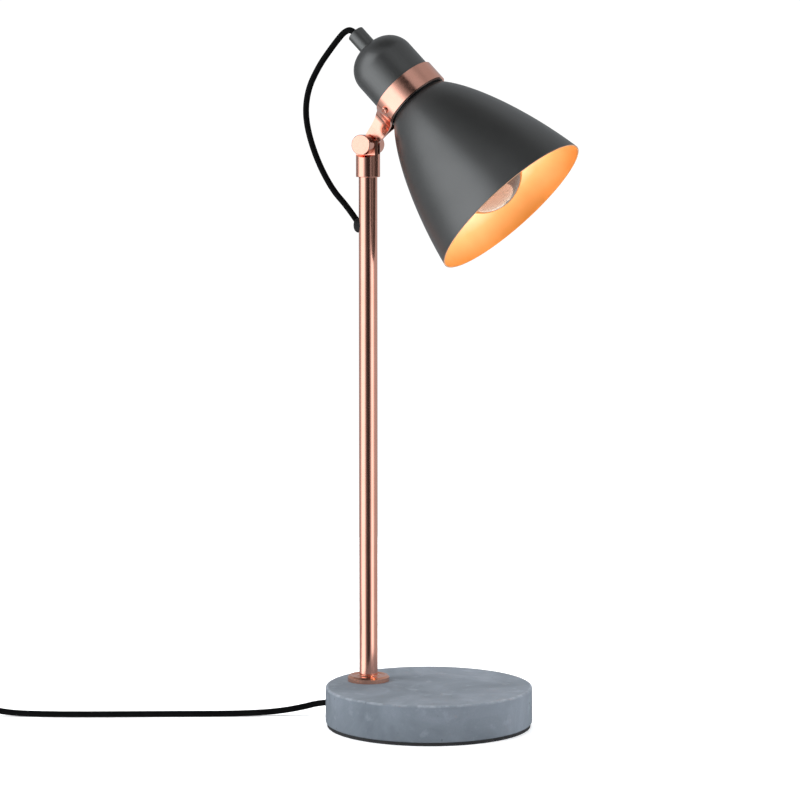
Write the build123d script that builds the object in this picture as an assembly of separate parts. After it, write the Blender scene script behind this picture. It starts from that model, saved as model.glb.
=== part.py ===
from build123d import *
import os
from math import atan2, cos, pi, radians, sin, sqrt, tan

# Table lamp: concrete disc, copper stem, tilting bell shade with a crown-mirror bulb.
# Millimetres. Origin at the centre of the underside, +Z up, the head leans towards +X.

# ---- base and stem ----
BASE_R = 75.0
BASE_TOP = 29.0
PAD_TOP = 2.5
PAD_R = 73.8
STEM_X = -48.0
CAVITY_R = 21.0
CAVITY_TOP = 22.0
CORD_R = 2.25
CORD_BORE_R = 2.35
CORD_EXIT = (-81.0, 0.0, 10.0)
TUBE_R = 6.75
TUBE_BORE_R = 5.55
NIPPLE_R = 4.95
NIPPLE_BORE_R = 3.4
THREAD_GAP = 0.05
FLANGE_R = 15.3
FLANGE_TOP = 33.6

# ---- cable hole near the top of the stem ----
SIDE_HOLE_Z = 362.0
SIDE_HOLE_R = 5.2
CABLE_EXIT = (-57.5, 0.0, 366.0)
CABLE_RISE = (-0.6, 0.0, 0.8)

# ---- tilt pivot ----
FERRULE_R = 8.75
FERRULE_BOTTOM = 396.7
FERRULE_TOP = 423.6
TUBE_TOP = 408.0
PIVOT = (STEM_X, 0.0, 420.0)
EAR_Y = 4.7
SLOT_HALF = 1.6
SLOT_FLOOR = 413.2
LEDGE_TOP = 412.6
STUD_R = 2.0
STUD_HOLE_R = 2.06
KNOB_R = 7.2
KNOB_OUT = 13.3

# ---- head: distances s run along its axis from the middle of the strap to the mouth ----
HEAD_DOWN = 45.5
PIVOT_OFF_AXIS = 48.9
PIVOT_S = 2.4
STRAP_T = 1.4
STRAP_W = 15.0
STRAP_MEAN_R = 24.5
STRAP_BEND_R = 16.0
TAB_MEAN_Y = 0.8
TAB_END_R = 5.0
STRAP_SCREW_ANGLE = 51.0
CUP_R = 23.65
CUP_BACK = -46.5
CUP_FRONT = 8.2
CUP_WALL = 1.2
CUP_CORNER_R = 18.0
GLAND_R = 6.45
GLAND_BACK = -61.3
CABLE_START_S = -58.3
SHADE_WALL = 0.9
SHADE_NECK_S = 9.6
SHADE_HOLE_R = 20.5
SHADE_CURVE = ((10.1, 23.6), (27.7, 38.9), (69.8, 54.9), (110.9, 62.6))
BULB_R = 30.0
BULB_S = 76.6
GLASS_T = 0.9

# ---- free cables: a route is where its straight runs would meet ----
HEAD_CABLE_ROUTE = [
    (-55.7, 0, 497.6), (-60.6, 0, 502.5), (-66.2, 0, 501.0), (-71.5, 0, 495.5),
    (-79.0, 0, 486.5), (-87.0, 0, 476.0), (-96.0, 0, 459.0), (-98.0, 0, 438.0),
    (-90.0, 0, 411.5), (-77.0, 0, 388.0), (-64.4, 0, 375.2), CABLE_EXIT,
]
MAINS_ROUTE = [
    CORD_EXIT, (-92, 0, 10), (-105, -6, 7.6), (-120, -14, 4.8), (-136, -22, 3.3),
    (-156, -31.5, 2.3), (-186, -43.5, 2.3), (-222, -60, 2.3), (-262, -79, 2.3),
    (-296, -95, 2.3), (-312, -102, 6.5), (-324, -107, 6.5),
]
LEAD_DIR = Vector(-12 / 13, -5 / 13, 0)
LEAD_SIDE = Vector(-5 / 13, 12 / 13, 0)
SWITCH_LENGTH = 65.0
SWITCH_W = 24.0
SWITCH_TOP = 13.4
SWITCH_AXIS_Z = 6.5
COIL_OUTER_R = 36.6
COIL_INNER_R = 17.5
COIL_TOP_Z = 6.8
PLUG_SLEEVE = 20.0
PLUG_LENGTH = 36.0
PLUG_W = 28.0
PLUG_H = 13.8
PIN_R = 2.0
PIN_OUT = 19.0
PIN_HALF_PITCH = 9.3
HOUSING_HALF = 24.5
SLEEVE_R = 4.4
SHELL_WALL = 1.8
ROCKER_Z = 4.2
ROCKER_TILT = 6.0

# ---- small screws: radii, and where each group sits ----
SCREW_R = 1.5
SCREW_HOLE_R = 1.55
CLAMP_X = -60.5
CLAMP_SCREW_Y = (-6.5, 6.5)
SWITCH_SCREW_X = (-17.0, 17.0)
SWITCH_SCREW_Y = (-8.6, 8.6)
SWITCH_SCREW_HOLE_R = 1.05
TERMINAL_Y = 6.0
TERMINAL_S = -11.8
GRUB_S = -57.2
FILAMENT_R = 0.8
FILAMENTS = 4

PIVOT_V = Vector(*PIVOT)
down = radians(HEAD_DOWN)
HEAD_AXIS = Vector(cos(down), 0, -sin(down))
TO_PIVOT = Vector(-sin(down), 0, -cos(down))
BAND_CENTRE = PIVOT_V - TO_PIVOT * PIVOT_OFF_AXIS - HEAD_AXIS * PIVOT_S
# In the head's own frame X points at the pivot, Y stays Y, and Z is the axis.
HEAD = Plane(BAND_CENTRE, x_dir=TO_PIVOT, z_dir=HEAD_AXIS)


# ---------------------------------------------------------------- helpers
def bar(start, end, radius, bore=0.0):
    """A round bar between two points, with an optional bore."""
    start, end = Vector(*start), Vector(*end)
    across = Plane(start, z_dir=end - start)
    section = across * Circle(radius)
    if bore:
        section -= across * Circle(bore)
    return extrude(section, (end - start).length)


def post(radius, low, high, bore=0.0, x=0.0, y=0.0):
    """An upright round bar."""
    return bar((x, y, low), (x, y, high), radius, bore)


def block(low, high):
    """A box from its lowest to its highest corner."""
    size = [h - l for l, h in zip(low, high)]
    middle = [(h + l) / 2 for l, h in zip(low, high)]
    return Pos(*middle) * Box(*size)


def turned(outline):
    """A solid turned about Z from (radius, height) corners."""
    corners = [(r, 0, z) for r, z in outline]
    return revolve(make_face(Polyline(*corners, close=True)), Axis.Z)


def tube_path(route):
    """Straight runs joined by arcs as large as the runs allow, and the arcs' radii."""
    points = [Vector(*p) for p in route]
    radii = []
    for before, corner, after in zip(points, points[1:], points[2:]):
        half_turn = radians((corner - before).get_angle(after - corner)) / 2
        run = min((corner - before).length, (after - corner).length)
        radii.append(0.45 * run / tan(half_turn))
    return FilletPolyline(*points, radius=radii), radii


def cable(name, route, radius=CORD_R):
    """A cable along a route; prints its length, volume ratio and tightest arcs."""
    path, radii = tube_path(route)
    section = Plane(path @ 0, z_dir=path % 0) * Circle(radius)
    tube = sweep(section, path=path)
    ratio = tube.volume / (pi * radius**2 * path.length)
    small = ", ".join(f"{r:.1f}" for r in sorted(radii)[:3])
    print(f"{name}: length {path.length:.1f}, volume ratio {ratio:.4f}, radii from {small}")
    return tube


# ---------------------------------------------------------------- base
def concrete_base():
    disc = post(BASE_R, PAD_TOP, BASE_TOP)
    disc = fillet(disc.edges().filter_by(GeomType.CIRCLE), 1.4)
    disc -= post(CAVITY_R, PAD_TOP - 1, CAVITY_TOP, x=STEM_X)
    disc -= post(NIPPLE_R + 0.15, CAVITY_TOP - 1, BASE_TOP + 1, x=STEM_X)
    disc -= bar((-BASE_R - 5, 0, CORD_EXIT[2]), (STEM_X, 0, CORD_EXIT[2]), 5.0)
    for y in CLAMP_SCREW_Y:
        disc -= post(SCREW_HOLE_R, CAVITY_TOP - 1, 26.2, x=CLAMP_X, y=y)
    return disc


def base_pad():
    return post(PAD_R, 0, PAD_TOP)


def base_cord_grommet():
    z = CORD_EXIT[2]
    bush = bar(CORD_EXIT, (-67.8, 0, z), 4.95) + bar((-67.8, 0, z), (-65.8, 0, z), 6.4)
    nose = bush.edges().filter_by(GeomType.CIRCLE).sort_by(Axis.X)[0]
    bush = fillet(nose, 1.0)
    return bush - bar((-90, 0, z), (-60, 0, z), CORD_BORE_R)


def cord_clamp():
    saddle = block((-63, -9, 6.4), (-58, 9, CAVITY_TOP))
    saddle -= bar((-70, 0, CORD_EXIT[2]), (-50, 0, CORD_EXIT[2]), CORD_R)
    for y in CLAMP_SCREW_Y:
        saddle -= post(SCREW_HOLE_R + 0.05, 0, 30, x=CLAMP_X, y=y)
    return saddle


def cord_clamp_screws():
    screws = []
    for y in CLAMP_SCREW_Y:
        shank = post(SCREW_R, 6.4, 26.0, x=CLAMP_X, y=y)
        head = post(2.4, 4.8, 6.4, x=CLAMP_X, y=y)
        screws.append(shank + head - block((-63, y - 0.3, 4.8), (-58, y + 0.3, 5.5)))
    return Compound(children=screws)


def stem_nipple():
    return post(NIPPLE_R, 16.5, 43.0, NIPPLE_BORE_R, x=STEM_X)


def base_washer():
    return post(9.5, CAVITY_TOP - 1.6, CAVITY_TOP, NIPPLE_R + 0.2, x=STEM_X)


def hex_nut(across_flats, low, high, hole):
    """A hexagon nut between two heights."""
    section = RegularPolygon(across_flats / 2, 6, major_radius=False) - Circle(hole)
    return extrude(Pos(0, 0, low) * section, high - low)


def base_nut():
    nut = hex_nut(14.0, CAVITY_TOP - 5.1, CAVITY_TOP - 1.6, NIPPLE_R + THREAD_GAP)
    return Pos(STEM_X, 0, 0) * nut


def stem_insert():
    return post(TUBE_BORE_R - THREAD_GAP, BASE_TOP, 45.0, NIPPLE_R + THREAD_GAP, x=STEM_X)


def stem_flange():
    rim = FLANGE_R
    ring = turned([
        (TUBE_R + THREAD_GAP, BASE_TOP), (rim, BASE_TOP), (rim, FLANGE_TOP - 1.6),
        (rim - 1.4, FLANGE_TOP - 0.3), (rim - 2.6, FLANGE_TOP - 0.3),
        (rim - 4.2, FLANGE_TOP - 1.0), (TUBE_R + 1.6, FLANGE_TOP - 0.6),
        (TUBE_R + 0.9, FLANGE_TOP), (TUBE_R + THREAD_GAP, FLANGE_TOP),
    ])
    return Pos(STEM_X, 0, 0) * ring


def stem_tube():
    tube = post(TUBE_R, BASE_TOP, TUBE_TOP, TUBE_BORE_R, x=STEM_X)
    return tube - bar((STEM_X - 12, 0, SIDE_HOLE_Z), (STEM_X, 0, SIDE_HOLE_Z), SIDE_HOLE_R)


def stem_grommet():
    z = SIDE_HOLE_Z
    wall = STEM_X - TUBE_R
    dome = bar((wall + 4.5, 0, z), (wall - 3.2, 0, z), 5.45)
    crown = dome.edges().filter_by(GeomType.CIRCLE).sort_by(Axis.X)[0]
    dome = fillet(crown, 2.4)
    dome -= post(TUBE_R + THREAD_GAP, z - 10, z + 10, x=STEM_X)
    neck = bar((wall + 2.2, 0, z), (wall - 1.0, 0, z), SIDE_HOLE_R - 0.05)
    start = Vector(*CABLE_EXIT)
    along = Vector(*CABLE_RISE)
    hole = bar(start - along * 14, start + along * 6, CORD_BORE_R)
    return dome + neck - hole


def stem_cable():
    rise = Vector(*CABLE_RISE)
    bend_z = CABLE_EXIT[2] - (STEM_X - CABLE_EXIT[0]) * rise.Z / -rise.X
    z = CORD_EXIT[2]
    route = [CORD_EXIT, (STEM_X, 0, z), (STEM_X, 0, bend_z), CABLE_EXIT]
    path = FilletPolyline(*route, radius=[7.0, 14.0])
    section = Plane(path @ 0, z_dir=path % 0) * Circle(CORD_R)
    return sweep(section, path=path)


# ---------------------------------------------------------------- pivot
def stem_ferrule():
    x = STEM_X
    body = post(FERRULE_R, FERRULE_BOTTOM, FERRULE_TOP, x=x)
    body = chamfer(body.edges().filter_by(GeomType.CIRCLE), 0.35)
    body -= post(TUBE_R + THREAD_GAP, FERRULE_BOTTOM - 1, TUBE_TOP, x=x)
    for side in (-1, 1):
        ledge, flat = FERRULE_R + 0.2, EAR_Y
        outline = [
            (flat, FERRULE_TOP + 1), (flat, LEDGE_TOP), (ledge, LEDGE_TOP - 1.8),
            (ledge + 3, LEDGE_TOP - 1.8), (ledge + 3, FERRULE_TOP + 1),
        ]
        face = make_face(Polyline(*[(x - 12, side * y, z) for y, z in outline], close=True))
        body -= extrude(face, 24, dir=(1, 0, 0))
    body -= block((x - 12, -SLOT_HALF, SLOT_FLOOR), (x + 12, SLOT_HALF, FERRULE_TOP + 1))
    return body - bar((x, -10, PIVOT[2]), (x, 10, PIVOT[2]), STUD_HOLE_R)


def round_head(inner_y, outer_y):
    """The plain round head that sits on each side of the clevis."""
    head = bar((STEM_X, inner_y, PIVOT[2]), (STEM_X, outer_y, PIVOT[2]), KNOB_R)
    return chamfer(head.edges().filter_by(GeomType.CIRCLE), 0.35)


def pivot_knob():
    hole = bar((STEM_X, -4, PIVOT[2]), (STEM_X, -10, PIVOT[2]), STUD_R)
    return round_head(-EAR_Y - 0.1, -KNOB_OUT) - hole


def pivot_stud():
    return bar((STEM_X, -10, PIVOT[2]), (STEM_X, 10, PIVOT[2]), STUD_R)


def pivot_cap_nut():
    hole = bar((STEM_X, 4, PIVOT[2]), (STEM_X, 10.4, PIVOT[2]), STUD_HOLE_R)
    return round_head(EAR_Y, KNOB_OUT) - hole


# ---------------------------------------------------------------- head
def neck_strap():
    """One strip: round the neck, then two arms that close to a pair of tabs."""
    arc_r = STRAP_BEND_R
    bend_y = TAB_MEAN_Y + arc_r
    bend_x = sqrt((STRAP_MEAN_R + arc_r) ** 2 - bend_y**2)
    leave = atan2(bend_y, bend_x)
    on_ring = (STRAP_MEAN_R * cos(leave), STRAP_MEAN_R * sin(leave))
    halfway = 5 * pi / 4 + leave / 2
    middle = (bend_x + arc_r * cos(halfway), bend_y + arc_r * sin(halfway))
    tab_end = (PIVOT_OFF_AXIS + TAB_END_R, TAB_MEAN_Y)
    ring = ThreePointArc(on_ring, (-STRAP_MEAN_R, 0), (on_ring[0], -on_ring[1]))
    line = [ring]
    for side in (1, -1):
        inner = (bend_x, side * TAB_MEAN_Y)
        line.append(ThreePointArc(
            (on_ring[0], side * on_ring[1]), (middle[0], side * middle[1]), inner))
        line.append(Line(inner, (tab_end[0], side * tab_end[1])))
    strip = Sketch()
    for piece in line:
        strip += trace(piece, STRAP_T)
    strip = extrude(strip, STRAP_W / 2, both=True)
    # Seen square to the tabs the arms narrow from their rear edge to a rounded end.
    tip = PIVOT_OFF_AXIS
    front, back = STRAP_W / 2, -STRAP_W / 2
    side_view = [
        (-40, back), (27.0, back), (tip, PIVOT_S - TAB_END_R),
        (tip, PIVOT_S + TAB_END_R), (tip - 3, front), (-40, front),
    ]
    keep = extrude(
        make_face(Polyline(*[(u, -40, s) for u, s in side_view], close=True)), 80, dir=(0, 1, 0))
    keep += bar((tip, -40, PIVOT_S), (tip, 40, PIVOT_S), TAB_END_R)
    strip &= keep
    strip -= bar((tip, -5, PIVOT_S), (tip, 5, PIVOT_S), STUD_HOLE_R)
    for side in (1, -1):
        turn = radians(STRAP_SCREW_ANGLE) * side
        out = (cos(turn) * 30, sin(turn) * 30, 0)
        strip -= bar((out[0] / 2, out[1] / 2, 0), out, SCREW_HOLE_R)
    return HEAD * strip


def around_screws(make):
    """Places a piece that is made along X at both strap screws."""
    pieces = [HEAD * (Rot(0, 0, side * STRAP_SCREW_ANGLE) * make()) for side in (1, -1)]
    return Compound(children=pieces)


def strap_screws():
    strap_face = STRAP_MEAN_R + STRAP_T / 2

    def screw():
        head = bar((strap_face + 0.05, 0, 0), (strap_face + 1.7, 0, 0), 2.75)
        rim = head.edges().filter_by(GeomType.CIRCLE).sort_by(Axis.X)[-1]
        head = fillet(rim, 0.9)
        slot_floor = strap_face + 1.1
        head -= block((slot_floor, -4, -0.35), (slot_floor + 2, 4, 0.35))
        return head + bar((20.0, 0, 0), (strap_face + 0.1, 0, 0), SCREW_R)
    return around_screws(screw)


def strap_nuts():
    inside = CUP_R - CUP_WALL - 0.25

    def nut():
        square = block((inside - 2.0, -2.6, -2.6), (inside, 2.6, 2.6))
        return square - bar((15, 0, 0), (30, 0, 0), SCREW_HOLE_R)
    return around_screws(nut)


def socket_cup():
    """A drawn cup: straight wall, round shoulder, flat back with the nipple hole."""
    def shell(radius, corner, back, front):
        mid = radians(45)
        centre = (radius - corner, back + corner)
        return revolve(make_face([
            Line((0, 0, front), (radius, 0, front)),
            Line((radius, 0, front), (radius, 0, back + corner)),
            ThreePointArc(
                (radius, 0, back + corner),
                (centre[0] + corner * cos(mid), 0, centre[1] - corner * sin(mid)),
                (radius - corner, 0, back)),
            Line((radius - corner, 0, back), (0, 0, back)),
            Line((0, 0, back), (0, 0, front)),
        ]), Axis.Z)
    cup = shell(CUP_R, CUP_CORNER_R, CUP_BACK, CUP_FRONT)
    cup -= shell(CUP_R - CUP_WALL, CUP_CORNER_R - CUP_WALL, CUP_BACK + CUP_WALL, CUP_FRONT + 1)
    cup -= post(NIPPLE_R + THREAD_GAP, CUP_BACK - 1, CUP_BACK + 5)
    for side in (1, -1):
        cup -= Rot(0, 0, side * STRAP_SCREW_ANGLE) * bar((15, 0, 0), (30, 0, 0), SCREW_HOLE_R)
    return HEAD * cup


def cable_gland():
    mouth = GLAND_BACK
    gland = turned([
        (4.5, mouth), (GLAND_R - 0.4, mouth), (GLAND_R, mouth + 0.4), (GLAND_R, CUP_BACK),
        (NIPPLE_R + THREAD_GAP, CUP_BACK), (NIPPLE_R + THREAD_GAP, -56.0),
        (CORD_BORE_R, -56.0), (CORD_BORE_R, CABLE_START_S),
    ])
    gland -= bar((0, 0, GRUB_S), (0, 10, GRUB_S), 1.05)
    return HEAD * gland


def gland_grub_screw():
    return HEAD * bar((0, CORD_BORE_R + 0.05, GRUB_S), (0, GLAND_R - 0.2, GRUB_S), 1.0)


def head_nipple():
    return HEAD * post(NIPPLE_R, -55.9, -32.0, 3.0)


def cup_lock_nut():
    return HEAD * hex_nut(14.0, CUP_BACK + CUP_WALL + 0.25, -42.0, NIPPLE_R + THREAD_GAP)


def holder_cable():
    return HEAD * post(CORD_R, CABLE_START_S, -27.0)


def holder_wires():
    wires = []
    for side in (1, -1):
        path = FilletPolyline(
            (0, side * 1.15, -27), (0, side * 1.15, -24), (0, side * TERMINAL_Y, -18.5),
            (0, side * TERMINAL_Y, -13.6), radius=2.0)
        section = Plane(path @ 0, z_dir=path % 0) * Circle(1.0)
        wires.append(sweep(section, path=path))
    return HEAD * Compound(children=wires)


def holder_cap():
    cap = turned([
        (NIPPLE_R + THREAD_GAP, -41.8), (7.6, -41.8), (7.6, -33.0), (13.5, -30.0),
        (17.6, -23.0), (17.6, -10.0), (15.8, -10.0), (15.8, -22.4), (12.6, -28.2),
        (6.4, -31.4), (NIPPLE_R + THREAD_GAP, -31.4),
    ])
    return HEAD * cap


def holder_skirt():
    skirt = turned([
        (14.3, -9.9), (17.6, -9.9), (17.6, 6.4), (21.8, 6.4), (21.8, SHADE_NECK_S),
        (19.9, SHADE_NECK_S), (19.9, 23.0), (19.2, 24.0), (14.3, 24.0),
    ])
    return HEAD * skirt


def holder_insert():
    disc = post(14.2, -9.9, -2.6)
    return HEAD * (disc - post(1.0, -12, 0))


def holder_thread_shell():
    return HEAD * post(14.2, -2.5, 22.0, 13.5)


def holder_contact():
    return HEAD * (post(3.0, -2.5, -0.15) + post(0.9, -9.8, -2.5))


def holder_terminals():
    blocks = []
    for y in (TERMINAL_Y, -TERMINAL_Y):
        lug = block((-3.5, y - 2.6, -13.5), (3.5, y + 2.6, -10.0))
        blocks.append(lug - bar((0, y, TERMINAL_S), (9, y, TERMINAL_S), 0.95))
    return HEAD * Compound(children=blocks)


def terminal_screws():
    screws = []
    for y in (TERMINAL_Y, -TERMINAL_Y):
        shank = bar((0.1, y, TERMINAL_S), (4.2, y, TERMINAL_S), 0.9)
        screws.append(shank + bar((3.6, y, TERMINAL_S), (5.0, y, TERMINAL_S), 1.5))
    return HEAD * Compound(children=screws)


def shade():
    """A spun bell with a flat neck flange; inner and outer curves are a wall apart."""
    start, lift, reach, mouth = [Vector(r, 0, s) for s, r in SHADE_CURVE]

    def inward(tangent):
        return Vector(-tangent.Z, 0, tangent.X).normalized() * SHADE_WALL
    at_neck = inward(lift - start)
    at_mouth = inward(mouth - reach)
    inner = [start + at_neck, lift + at_neck, reach + at_mouth, mouth + at_mouth]
    flange_in = Vector(SHADE_HOLE_R, 0, SHADE_NECK_S + SHADE_WALL)
    flange_out = Vector(SHADE_HOLE_R, 0, SHADE_NECK_S)
    shoulder = Vector(start.X - 0.5, 0, SHADE_NECK_S)
    inner_shoulder = Vector(inner[0].X - 0.1, 0, SHADE_NECK_S + SHADE_WALL)
    return HEAD * revolve(make_face([
        Line(flange_out, shoulder),
        Line(shoulder, start),
        Bezier(start, lift, reach, mouth),
        Line(mouth, inner[3]),
        Bezier(*reversed(inner)),
        Line(inner[0], inner_shoulder),
        Line(inner_shoulder, flange_in),
        Line(flange_in, flange_out),
    ]), Axis.Z)


def shade_ring():
    low = SHADE_NECK_S + SHADE_WALL
    ring = post(22.2, low, low + 4.2, 19.95)
    for step in range(24):
        notch = Rot(0, 0, step * 15) * block((21.7, -0.6, low + 1), (24, 0.6, low + 6))
        ring -= notch
    return HEAD * ring


# ---------------------------------------------------------------- bulb
def glass_outline(radius, neck_r, neck_s):
    """The half outline of the envelope: neck, a smooth flare, then the sphere."""
    meet = radians(125)
    flare_end = Vector(radius * sin(meet), 0, BULB_S + radius * cos(meet))
    along = Vector(-cos(meet), 0, sin(meet))
    neck = Vector(neck_r, 0, neck_s)
    side = Vector(radius * sin(radians(62)), 0, BULB_S + radius * cos(radians(62)))
    tip = Vector(0, 0, BULB_S + radius)
    return neck, tip, [
        Bezier(neck, neck + Vector(0.3, 0, 13), flare_end - along * 11, flare_end),
        ThreePointArc(flare_end, side, tip),
    ]


def bulb_glass():
    outer_neck, outer_tip, outer = glass_outline(BULB_R, 12.5, 24.0)
    inner_neck, inner_tip, inner = glass_outline(BULB_R - GLASS_T, 11.65, 24.0)
    wall = make_face(outer + inner + [
        Line(outer_tip, inner_tip), Line(outer_neck, inner_neck)])
    return HEAD * revolve(wall, Axis.Z)


def bulb_crown_mirror():
    """The copper coat inside the front half of the sphere."""
    outer, inner = BULB_R - GLASS_T - 0.02, BULB_R - GLASS_T - 0.2
    edge, mid = radians(84), radians(42)

    def at(radius, angle):
        return Vector(radius * sin(angle), 0, BULB_S + radius * cos(angle))
    coat = make_face([
        ThreePointArc(at(outer, edge), at(outer, mid), at(outer, 0)),
        Line(at(outer, 0), at(inner, 0)),
        ThreePointArc(at(inner, 0), at(inner, mid), at(inner, edge)),
        Line(at(inner, edge), at(outer, edge)),
    ])
    return HEAD * revolve(coat, Axis.Z)


def bulb_cap():
    cap = turned([(10.9, 4.0), (13.1, 6.0), (13.1, 26.0), (12.95, 26.0), (12.95, 23.9),
                  (11.6, 23.9), (11.6, 6.6), (10.0, 5.0), (10.0, 4.0)])
    return HEAD * cap


def bulb_insulator():
    return HEAD * turned([(2.6, 1.0), (4.2, 1.0), (9.9, 4.0), (9.9, 5.0), (2.6, 5.0)])


def bulb_contact():
    return HEAD * (post(2.5, 0.0, 2.4) + post(0.6, 2.4, 20.0))


def filament_rods(radius):
    """The light strips as round bars that spread from the stem's tip."""
    rods = []
    for step in range(FILAMENTS):
        angle = radians(45) + 2 * pi * step / FILAMENTS
        low = (2.4 * cos(angle), 2.4 * sin(angle), 47.0)
        high = (9.0 * cos(angle), 9.0 * sin(angle), 78.0)
        rods.append(bar(low, high, radius))
    return rods


def bulb_stem():
    stem = turned([
        (0.7, 24.2), (11.5, 24.2), (6.0, 27.0), (4.6, 34.0), (4.6, 52.0), (3.8, 53.0),
        (0, 53.0), (0, 30.0), (0.7, 28.0)])
    for rod in filament_rods(FILAMENT_R + THREAD_GAP):
        stem -= rod
    return HEAD * stem


def bulb_filaments():
    return HEAD * Compound(children=filament_rods(FILAMENT_R))


# ---------------------------------------------------------------- switch, coil and plug
SWITCH_START = Vector(*MAINS_ROUTE[-1])
SWITCH = Plane(
    (SWITCH_START + LEAD_DIR * (SWITCH_LENGTH / 2)), x_dir=LEAD_DIR, z_dir=(0, 0, 1))
SWITCH_END = SWITCH_START + LEAD_DIR * SWITCH_LENGTH
COIL_ENTRY = SWITCH_END + LEAD_DIR * 43
COIL_CENTRE = COIL_ENTRY + LEAD_SIDE * COIL_OUTER_R
COIL_LEAVE = COIL_CENTRE + LEAD_SIDE * COIL_OUTER_R
PLUG_START = COIL_LEAVE - LEAD_DIR * 30
PLUG = Plane(Vector(PLUG_START.X, PLUG_START.Y, COIL_TOP_Z + 0.2), x_dir=-LEAD_DIR, z_dir=(0, 0, 1))


def switch_half(upper):
    """Half of the switch housing with its half of the two cable sleeves."""
    drop = SWITCH_AXIS_Z
    top = SWITCH_TOP - drop
    outer = block((-HOUSING_HALF, -SWITCH_W / 2, -drop), (HOUSING_HALF, SWITCH_W / 2, top))
    outer = fillet(outer.edges().filter_by(Axis.Z), 8.0)
    outer = fillet(outer.faces().sort_by(Axis.Z)[-1].edges(), 2.0)
    sleeve = bar((-SWITCH_LENGTH / 2, 0, 0), (SWITCH_LENGTH / 2, 0, 0), SLEEVE_R)
    inner = block(
        (-HOUSING_HALF + SHELL_WALL, -SWITCH_W / 2 + SHELL_WALL, -drop + SHELL_WALL),
        (HOUSING_HALF - SHELL_WALL, SWITCH_W / 2 - SHELL_WALL, top - SHELL_WALL))
    inner = fillet(inner.edges().filter_by(Axis.Z), 6.0)
    body = outer + sleeve - inner
    body -= bar((-SWITCH_LENGTH, 0, 0), (SWITCH_LENGTH, 0, 0), CORD_BORE_R)
    low, high = (0.03, 20) if upper else (-20, -0.03)
    body &= block((-50, -30, low), (50, 30, high))
    if upper:
        body -= block((-8.3, -5.3, 0), (8.3, 5.3, 20))
    for x in SWITCH_SCREW_X:
        for y in SWITCH_SCREW_Y:
            column = post(2.2, -drop + SHELL_WALL, -0.03, x=x, y=y)
            body = body if upper else body + column
            body -= post(SWITCH_SCREW_HOLE_R, -drop - 1, top - SHELL_WALL, x=x, y=y)
    return SWITCH * body


def switch_lower():
    return switch_half(False)


def switch_upper():
    return switch_half(True)


def switch_screws():
    screws = []
    for x in SWITCH_SCREW_X:
        for y in SWITCH_SCREW_Y:
            screws.append(post(1.0, -SWITCH_AXIS_Z + 0.3, 4.6, x=x, y=y))
    return SWITCH * Compound(children=screws)


def switch_terminals():
    blocks = []
    for x in (-12.0, 12.0):
        for y in (-3.4, 3.4):
            blocks.append(block((x - 3, y - 2.2, -4.5), (x + 3, y + 2.2, 0)))
    return SWITCH * Compound(children=blocks)


def switch_cable_stubs():
    half = SWITCH_LENGTH / 2
    stubs = [bar((side * half, 0, 0), (side * 16.0, 0, 0), CORD_R) for side in (-1, 1)]
    return SWITCH * Compound(children=stubs)


def switch_pin():
    return SWITCH * bar((0, -7.5, ROCKER_Z), (0, 7.5, ROCKER_Z), 0.9)


def switch_rocker():
    """The rocker, resting at one end of its travel."""
    cap = block((-7.4, -4.9, ROCKER_Z - 1.5), (7.4, 4.9, SWITCH_TOP - SWITCH_AXIS_Z + 1.3))
    dish = bar((0, -6, 40), (0, 6, 40), 40 - SWITCH_TOP + SWITCH_AXIS_Z - 0.5)
    cap = fillet(cap.edges().filter_by(Axis.Y), 1.2) - dish
    cap -= bar((0, -6, ROCKER_Z), (0, 6, ROCKER_Z), 0.96)
    turn = Pos(0, 0, ROCKER_Z) * Rot(0, ROCKER_TILT, 0) * Pos(0, 0, -ROCKER_Z)
    return SWITCH * (turn * cap)


def mains_cord():
    return cable("mains_cord", MAINS_ROUTE)


def cord_to_coil():
    high = SWITCH_END
    step = high + LEAD_DIR * 12
    table = high + LEAD_DIR * 27 + LEAD_SIDE * 0.6
    route = [
        high, step, Vector(table.X, table.Y, 2.3),
        Vector(COIL_ENTRY.X, COIL_ENTRY.Y, 2.35)]
    return cable("cord_to_coil", [tuple(p) for p in route])


def cord_coil():
    """The outer shape of the put-away turns."""
    wide = CORD_R + 0.15
    ring = turned([
        (COIL_INNER_R - wide, 0.1), (COIL_OUTER_R + wide, 0.1),
        (COIL_OUTER_R + wide, COIL_TOP_Z + CORD_R), (COIL_INNER_R - wide, COIL_TOP_Z + CORD_R)])
    ring = fillet(ring.edges().filter_by(GeomType.CIRCLE), 1.8)
    return Pos(COIL_CENTRE.X, COIL_CENTRE.Y, 0) * ring


def cord_tail():
    leave = Vector(COIL_LEAVE.X, COIL_LEAVE.Y, COIL_TOP_Z - 0.2)
    end = PLUG.origin
    return cable("cord_tail", [tuple(p) for p in (leave, end + LEAD_DIR * 14, end)])


def plug_sleeve():
    sleeve = turned([(CORD_R + 0.9, 0), (5.2, PLUG_SLEEVE), (0, PLUG_SLEEVE), (0, 0)])
    return PLUG * (Rot(0, 90, 0) * sleeve)


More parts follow.
